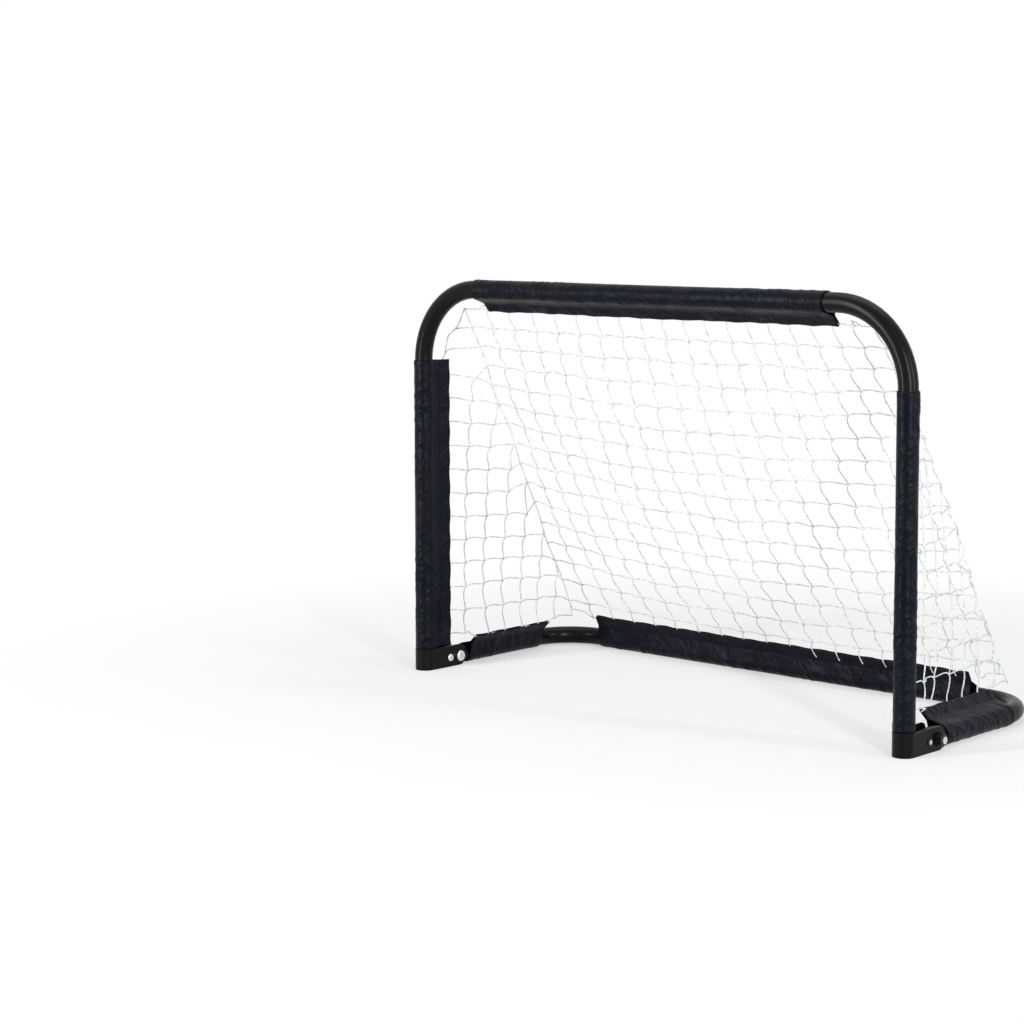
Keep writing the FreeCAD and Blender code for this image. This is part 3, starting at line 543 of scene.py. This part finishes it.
# Leaves only the cords, without those of the edge that the flaps hold
def openUp(form, loose):
    bmesh.ops.delete(form, geom=form.faces[:], context="FACES_ONLY")
    gone = [edge for edge in form.edges if loose(edge)]
    bmesh.ops.delete(form, geom=gone, context="EDGES")


def makeBackNet():
    columns, rows = 19, 17
    form = bmesh.new()
    bmesh.ops.create_grid(form, x_segments=columns, y_segments=rows, size=0.5)
    for vert in form.verts:
        vert.co = Vector(((vert.co.x + 0.5) * columns - 1, (vert.co.y + 0.5) * rows - 1, 0))
    top, bottom = -0.25, net["rowsDown"] + 0.37
    for height, way in ((top, -1), (bottom, 1)):
        bmesh.ops.bisect_plane(form, geom=form.verts[:] + form.edges[:] + form.faces[:],
                               plane_co=(0, height, 0), plane_no=(0, way, 0), clear_outer=True)

    def heldEdge(edge):
        a, b = (vert.co for vert in edge.verts)
        middle = (a.x + b.x) / 2
        return abs(a.y - b.y) < 1e-4 and (a.y < -0.2 or a.y > 15.2) and 0 < middle < 17
    openUp(form, heldEdge)
    knots = [backPoint(*vert.co.xy) for vert in form.verts if len(vert.link_edges) > 2]
    bmesh.ops.subdivide_edges(form, edges=form.edges[:], cuts=net["cuts"])
    for vert in form.verts:
        vert.co = backPoint(*vert.co.xy)
    return form, knots


def seamKnots(side):
    return [backPoint(net["firstColumn" if side < 0 else "lastColumn"], row) for row in range(16)]


def sidePoint(side, column, row):
    s, t = column - math.floor(column), row - math.floor(row)
    onColumn, onRow = min(s, 1 - s) < 0.01, min(t, 1 - t) < 0.01
    if onColumn and not onRow:
        column += side * net["turn"] * 0.8 * cordShift(t, column * 5.3 + math.floor(row) * 2.7)
    if onRow and not onColumn:
        fromFront = s if side < 0 else 1 - s
        row -= net["lift"] * cordShift(fromFront, row * 3.1 + math.floor(column) * 1.3)
    z = net["sideTop"] - net["sideRow"] * row
    column += 0.3 * smoothStep(0.485, 0.525, z) * max(0, 1 - column)
    y = net["sideFront"] + net["sideColumn"] * column
    edgeX, edgeY = flapTips["upright"]
    tipX, tipZ = flapTips["arm"]
    onArm = smoothStep(-0.086, -0.076, y) * (1 - smoothStep(0.082, 0.094, y))
    z -= 0.008 * onArm * (1 - smoothStep(0.05, 0.07, z))
    up = (z - low.z) / slope.z
    seamX = (0.376 + 0.03 * max(0, (0.42 - up) / 0.42) ** 1.5
             + 0.0085 * (1 + side) * 4 * up * (0.62 - up) / 0.384)
    seamY = low.y + slope.y * up
    share = min(max((y - edgeY) / max(seamY - edgeY, 0.02), 0), 1)
    x = edgeX + (seamX - edgeX) * share
    if y < edgeY and z < flapTips["uprightTop"]:
        x = edgeX + 0.364 * (edgeY - y)
    nearArm = onArm * (1 - smoothStep(tipZ, 0.13, z))
    x += (tipX + max(0, tipZ - z) - x) * nearArm
    point = Vector((side * x, y, z)) + plumb * slack(up, x) * share
    point += stray(point, 7) * 0.005 * min(1, 4 * share * (1 - share)) * smoothStep(0.06, 0.12, z)
    return point + heldShift(point)


def makeSideNet(side):
    columns, rows = 8, 14
    form = bmesh.new()
    bmesh.ops.create_grid(form, x_segments=columns, y_segments=rows, size=0.5)
    for vert in form.verts:
        vert.co = Vector(((vert.co.x + 0.5) * columns, (vert.co.y + 0.5) * rows - 3, 0))

    def taut(y, z):
        return Vector(((y - net["sideFront"]) / net["sideColumn"],
                       (net["sideTop"] - z) / net["sideRow"], 0))
    head, foot = taut(low.y, low.z), taut(low.y + slope.y * 0.6, low.z + slope.z * 0.6)
    line = (foot - head).normalized()
    bmesh.ops.bisect_plane(form, geom=form.verts[:] + form.edges[:] + form.faces[:], dist=0.05,
                           plane_co=head, plane_no=(-line.y, line.x, 0), clear_outer=True)

    def offSeam(co):
        return abs((co - head).cross(line).z)

    def heldEdge(edge):
        a, b = (vert.co for vert in edge.verts)
        middle = (a + b) / 2
        seam = offSeam(a) < 0.06 and offSeam(b) < 0.06
        upright = a.x < 0.01 and b.x < 0.01 and middle.y > -0.25
        return seam or upright
    openUp(form, heldEdge)
    spare = [vert for vert in form.verts if not vert.link_edges]
    bmesh.ops.delete(form, geom=spare, context="VERTS")
    seamVerts = [vert for vert in form.verts if offSeam(vert.co) < 0.06]
    ends = {vert: sidePoint(side, *vert.co.xy) for vert in form.verts}
    joints = seamKnots(side)
    taken = {}
    for vert in seamVerts:
        near = min(range(len(joints)), key=lambda i: (joints[i] - ends[vert]).length)
        taken.setdefault(near, []).append(vert)
    inner = [vert for vert in form.verts if vert not in seamVerts]
    links = []
    for number, joint in enumerate(joints):
        if number and number not in taken:
            links.append((min(inner, key=lambda vert: (ends[vert] - joint).length), number))
    knots = [ends[vert] for vert in inner if len(vert.link_edges) > 2]
    # each cord is laid between its two ends, so that the last ones bend to the seam's knots
    pulls = {vert: joints[near] for near, verts in taken.items() for vert in verts}
    cords = []
    for edge in form.edges:
        cords.append(tuple((vert.co.copy(), pulls.get(vert, ends[vert]), ends[vert])
                           for vert in edge.verts))
    for vert, number in links:
        cords.append(((vert.co.copy(), ends[vert], ends[vert]),
                      (vert.co.copy(), joints[number], ends[vert])))
    form.free()
    whole = bmesh.new()
    for begin, end in cords:
        steps = net["cuts"] + 1
        last = None
        for step in range(steps + 1):
            share = step / steps
            plan = begin[0].lerp(end[0], share)
            point = sidePoint(side, plan.x, plan.y)
            point += (begin[1] - begin[2]) * (1 - share) + (end[1] - end[2]) * share
            vert = whole.verts.new(point)
            if last:
                whole.edges.new((last, vert))
            last = vert
    bmesh.ops.remove_doubles(whole, verts=whole.verts[:], dist=0.0003)
    return whole, knots


# Cords of the panel as round twine, with a knot at every crossing
def makeNet(name, form, knots, node):
    piece = makePiece(name, form, twine)
    bpy.context.view_layer.objects.active = piece
    bpy.ops.object.select_all(action="DESELECT")
    piece.select_set(True)
    bpy.ops.object.convert(target="CURVE")
    piece.data.bevel_depth = net["cord"]
    piece.data.bevel_resolution = 1
    piece.data.use_fill_caps = True
    bpy.ops.object.convert(target="MESH")
    knotForm = bmesh.new()
    for number, knot in enumerate(knots):
        turn = Matrix.Rotation(0.7 + 0.3 * math.sin(number * 2.3), 4, "Y")
        shape = Matrix.Diagonal((1.25, 0.8, 0.95, 1))
        bmesh.ops.create_uvsphere(knotForm, u_segments=7, v_segments=5, radius=net["knot"],
                                  matrix=Matrix.Translation(knot) @ turn @ shape)
    knotData = bpy.data.meshes.new("knots")
    knotForm.to_mesh(knotData)
    knotForm.free()
    form = bmesh.new()
    form.from_mesh(piece.data)
    form.from_mesh(knotData)
    form.to_mesh(piece.data)
    form.free()
    bpy.data.meshes.remove(knotData)
    piece.data.materials.clear()
    piece.data.materials.append(twine)
    for face in piece.data.polygons:
        face.use_smooth = True
    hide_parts(node)
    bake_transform(piece)
    print(name, "knotted,", len(piece.data.polygons), "faces")


makeNet("backNet", *makeBackNet(), "net_back")
makeNet("leftNet", *makeSideNet(-1), "net_left")
makeNet("rightNet", *makeSideNet(1), "net_right")
print("net hung")

# Stage: pale floor, white surround, soft lamps
stage = {
    "floor": 40.0, "floorColour": "#f8f8f8", "fadeFrom": 0.45, "fadeTo": 1.3, "near": 0.45,
    "surround": 0.3,        # brightness of the white room on diffuse surfaces
}


# 1 for rays from the camera and for those that metal, paint or glass send on
def seenRays(tree):
    rays = addNode(tree, "ShaderNodeLightPath")
    total = rays.outputs["Is Camera Ray"]
    for kind in ("Is Glossy Ray", "Is Transmission Ray"):
        more = addNode(tree, "ShaderNodeMath", {"operation": "MAXIMUM"})
        tree.links.new(total, more.inputs[0])
        tree.links.new(rays.outputs[kind], more.inputs[1])
        total = more.outputs["Value"]
    return total


def makeFloor():
    form = bmesh.new()
    bmesh.ops.create_grid(form, x_segments=1, y_segments=1, size=stage["floor"] / 2)
    material, tree, shader = newMaterial("paleStudioFloor", {"Roughness": 0.9})
    place = addNode(tree, "ShaderNodeTexCoord").outputs["Object"]
    speck = addNode(tree, "ShaderNodeTexNoise", None, {"Vector": place, "Scale": 3.0})
    tone = addNode(tree, "ShaderNodeMix", {"data_type": "RGBA"}, {
        "Factor": speck.outputs["Fac"], "A": linear(stage["floorColour"]), "B": linear("#f4f4f4")})
    tree.links.new(tone.outputs["Result"], shader.inputs["Base Color"])
    white = addNode(tree, "ShaderNodeEmission", None, {"Color": (1, 1, 1, 1), "Strength": 1.0})
    far = addNode(tree, "ShaderNodeVectorMath", {"operation": "LENGTH"})
    tree.links.new(place, far.inputs[0])
    fade = addNode(tree, "ShaderNodeMapRange", {"interpolation_type": "SMOOTHSTEP"}, {
        "Value": far.outputs["Value"], "From Min": stage["fadeFrom"], "From Max": stage["fadeTo"],
        "To Min": stage["near"], "To Max": 1.0})
    seen = seenRays(tree)
    seenFar = addNode(tree, "ShaderNodeMath", {"operation": "MULTIPLY"})
    tree.links.new(seen, seenFar.inputs[0])
    tree.links.new(fade.outputs["Result"], seenFar.inputs[1])
    blend = addNode(tree, "ShaderNodeMixShader", None, {
        0: seenFar.outputs["Value"], 1: shader.outputs["BSDF"], 2: white.outputs["Emission"]})
    tree.links.new(blend.outputs["Shader"], tree.nodes["Material Output"].inputs["Surface"])
    floor = makePiece("studioFloor", form, material)


def makeWorld():
    world = bpy.data.worlds.new("whiteRoom")
    bpy.context.scene.world = world
    world.use_nodes = True
    tree = world.node_tree
    room = tree.nodes["Background"]
    room.inputs["Color"].default_value = (1, 1, 1, 1)
    room.inputs["Strength"].default_value = stage["surround"]
    white = addNode(tree, "ShaderNodeBackground", None, {"Color": (1, 1, 1, 1), "Strength": 1.0})
    seen = seenRays(tree)
    mix = addNode(tree, "ShaderNodeMixShader", None, {
        0: seen, 1: room.outputs["Background"], 2: white.outputs["Background"]})
    tree.links.new(mix.outputs["Shader"], tree.nodes["World Output"].inputs["Surface"])


lamps = {
    "frontPanel": {"at": (-1.2, -3.0, 1.0), "aim": (0, 0, 0.25), "size": (0.35, 2.0), "power": 72},
    "rightPanel": {"at": (2.95, -1.75, 1.0), "aim": (0, 0, 0.25), "size": (0.3, 2.0), "power": 64},
    "sidePanel": {"at": (3.3, 0.5, 1.0), "aim": (0, 0, 0.25), "size": (0.3, 2.0), "power": 36},
    "topPanel": {"at": (-0.2, 0.2, 3.4), "aim": (0, 0, 0), "size": (3.0, 2.0), "power": 35},
}


def makeLamps():
    for name, lamp in lamps.items():
        data = bpy.data.lights.new(name, "AREA")
        data.shape = "RECTANGLE"
        data.size, data.size_y = lamp["size"]
        data.energy = lamp["power"]
        obj = bpy.data.objects.new(name, data)
        bpy.context.scene.collection.objects.link(obj)
        obj.location = lamp["at"]
        aim = Vector(lamp["aim"]) - obj.location
        obj.rotation_euler = aim.to_track_quat("-Z", "Y").to_euler()


view = {
    "place": (2.18645, -2.81111, 0.73668), "turn": (90 - 5.636, 0.153, 42.658), "lens": 86.27,
    "shift": -0.08,
}


def makeCamera():
    data = bpy.data.cameras.new("photoCamera")
    data.sensor_width = 36
    data.lens = view["lens"]
    data.shift_y = view["shift"]
    data.clip_end = 200
    obj = bpy.data.objects.new("photoCamera", data)
    bpy.context.scene.collection.objects.link(obj)
    obj.location = view["place"]
    obj.rotation_euler = [math.radians(angle) for angle in view["turn"]]
    bpy.context.scene.camera = obj


makeFloor()
makeWorld()
makeLamps()
makeCamera()
bpy.context.scene.view_settings.view_transform = "Standard"
print("stage set")
